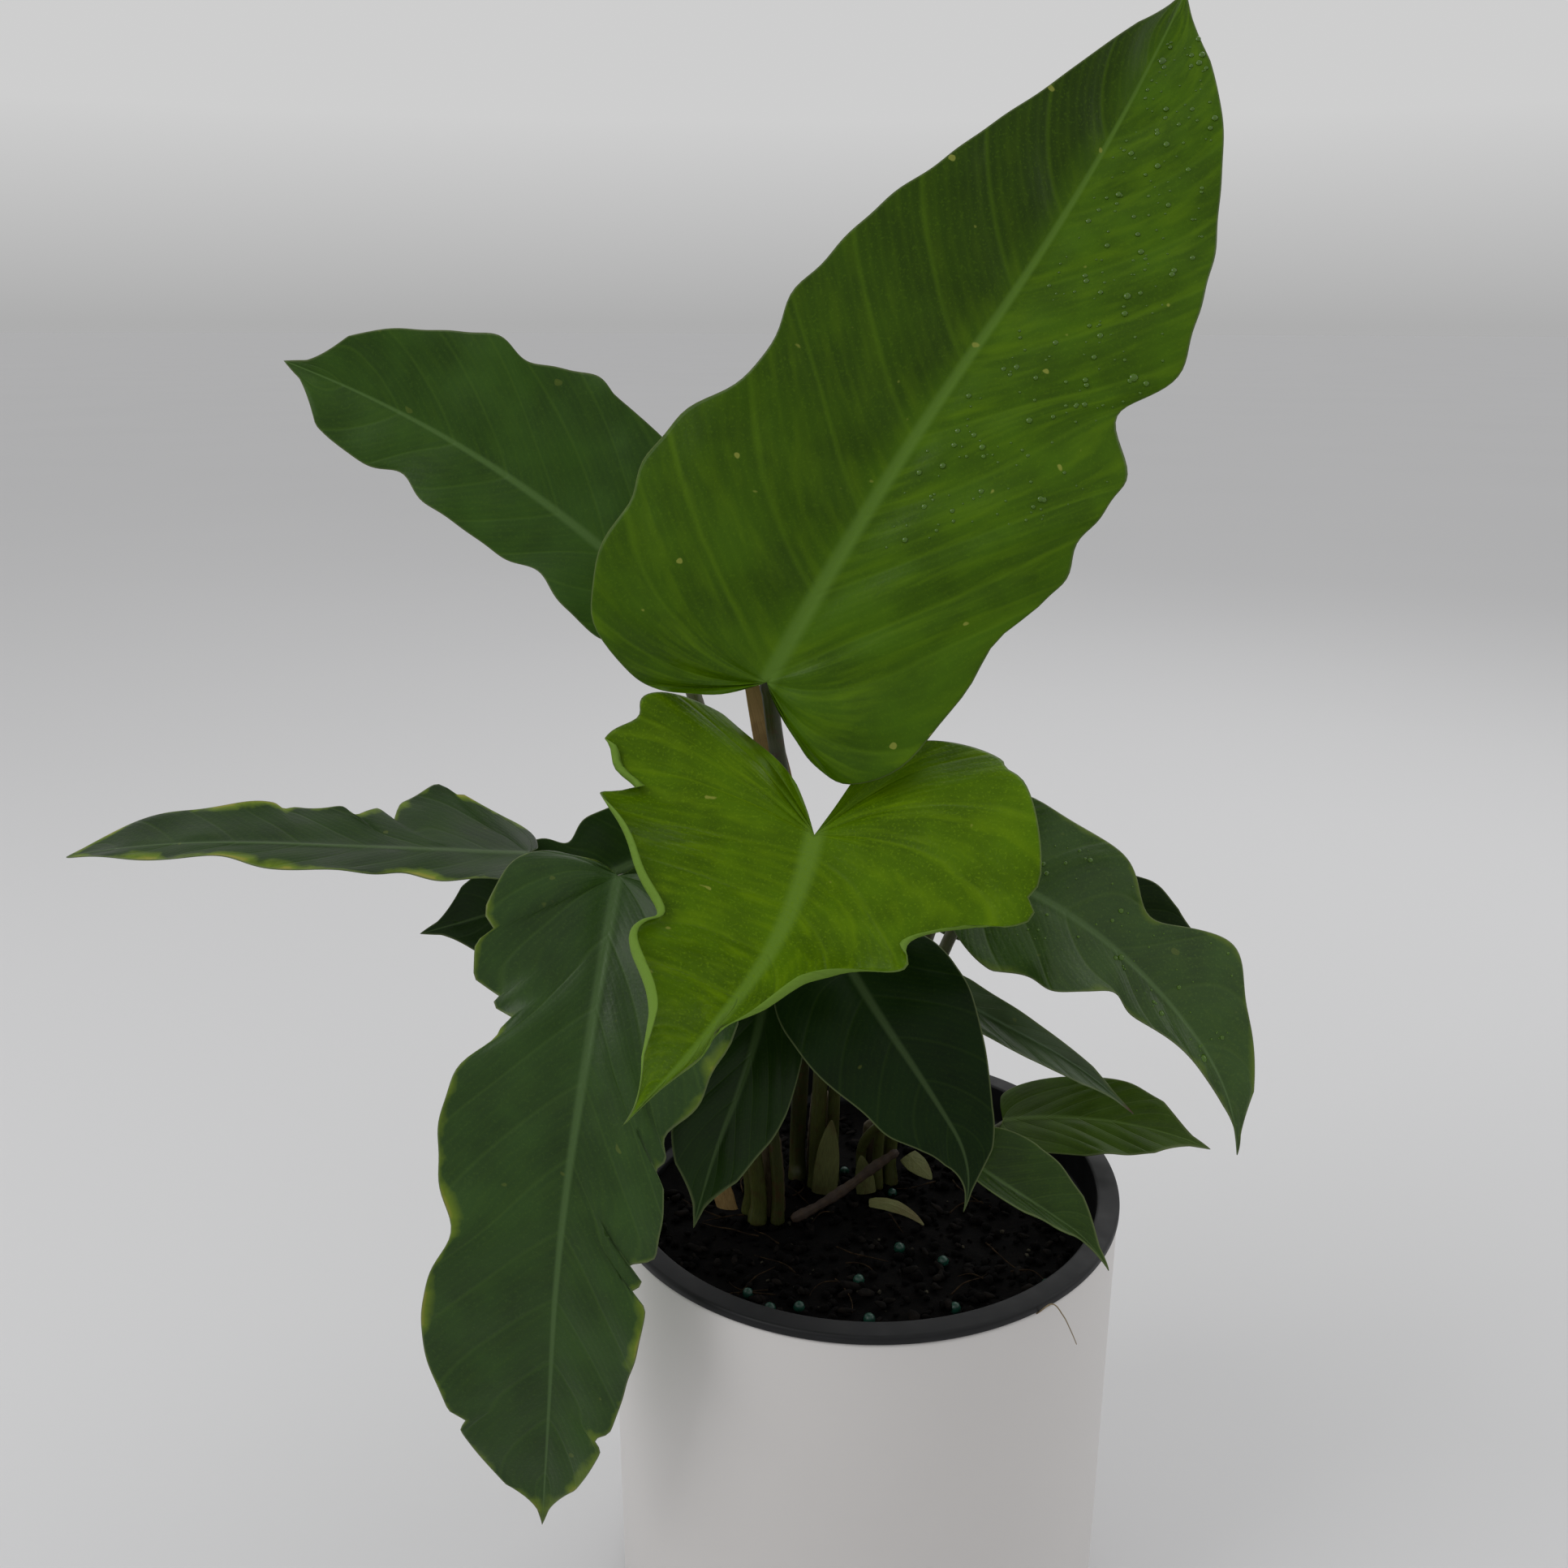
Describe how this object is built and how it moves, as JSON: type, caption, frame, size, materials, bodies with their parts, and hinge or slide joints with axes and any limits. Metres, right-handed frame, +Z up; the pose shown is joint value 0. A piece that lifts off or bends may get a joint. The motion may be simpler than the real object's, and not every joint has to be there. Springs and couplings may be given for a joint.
{
  "type": "potted philodendron",
  "caption": "Leafy philodendron with heart-based glossy leaves on stalks, rooted in a black grower pot that hangs in a plain white cover pot.",
  "frame": {"origin": "centre of the cover pot's underside, on the surface it stands on", "axes": "+Z up along the pots' axis, +X to the right and +Y to the back when the big upright leaf leans right, with the drooping leaf at the front left"},
  "size_m": [0.3282, 0.1997, 0.4649],
  "materials": {
    "cover_white": "smooth, matt white",
    "grower_black": "moulded, dusty satin black",
    "mix": "coarse, dark and moist, with bark, perlite and green fertiliser prills",
    "crown_stem": "fibrous olive brown",
    "petiole": "smooth olive green, brown on the tallest",
    "old_stem": "wrinkled brown",
    "dry_brown": "dry and papery, brown",
    "dry_cream": "dry and papery, cream",
    "leaf_mid": "glossy mid green with lime mottling and water beads",
    "leaf_lime": "young, glossy lime green with a fine grain and pale rolled edge",
    "leaf_back": "satin dark green",
    "leaf_edged": "glossy dark green with yellow-green torn edges",
    "leaf_dark": "satin dark green with a thin pale edge",
    "leaf_right": "glossy dark green, blistered and wet",
    "leaf_narrow": "glossy dark green with a brown tip",
    "leaf_light": "satin lighter green"
  },
  "bodies": {
    "root": {"back_left_leaf_blade": "leaf_back", "back_left_leaf_petiole": "petiole", "behind_left_leaf_blade": "leaf_dark", "behind_left_leaf_petiole": "petiole", "behind_right_leaf_blade": "leaf_right", "behind_right_leaf_petiole": "petiole", "centre_crown": "crown_stem", "centre_leaf_blade": "leaf_dark", "centre_leaf_petiole": "petiole", "centre_sheath": "dry_cream", "cover_pot": "cover_white", "curled_sheath": "dry_cream", "drooping_leaf_blade": "leaf_edged", "drooping_leaf_petiole": "petiole", "grower_pot": "grower_black", "left_crown": "crown_stem", "left_sheath": "dry_brown", "low_right_leaf_blade": "leaf_light", "low_right_leaf_petiole": "petiole", "narrow_leaf_blade": "leaf_narrow", "narrow_leaf_petiole": "petiole", "new_leaf_blade": "leaf_lime", "new_leaf_petiole": "petiole", "old_stem": "old_stem", "pointed_sheath": "dry_cream", "potting_mix": "mix", "right_crown": "crown_stem", "right_leaf_blade": "leaf_right", "right_leaf_petiole": "petiole", "right_sheath": "dry_cream", "rim_leaf_blade": "leaf_light", "rim_leaf_petiole": "petiole", "side_left_leaf_blade": "leaf_edged", "side_left_leaf_petiole": "petiole", "small_dark_leaf_blade": "leaf_dark", "small_dark_leaf_petiole": "petiole", "tall_leaf_blade": "leaf_mid", "tall_leaf_petiole": "petiole", "tall_sheath": "dry_brown"}
  },
  "joints": []
}
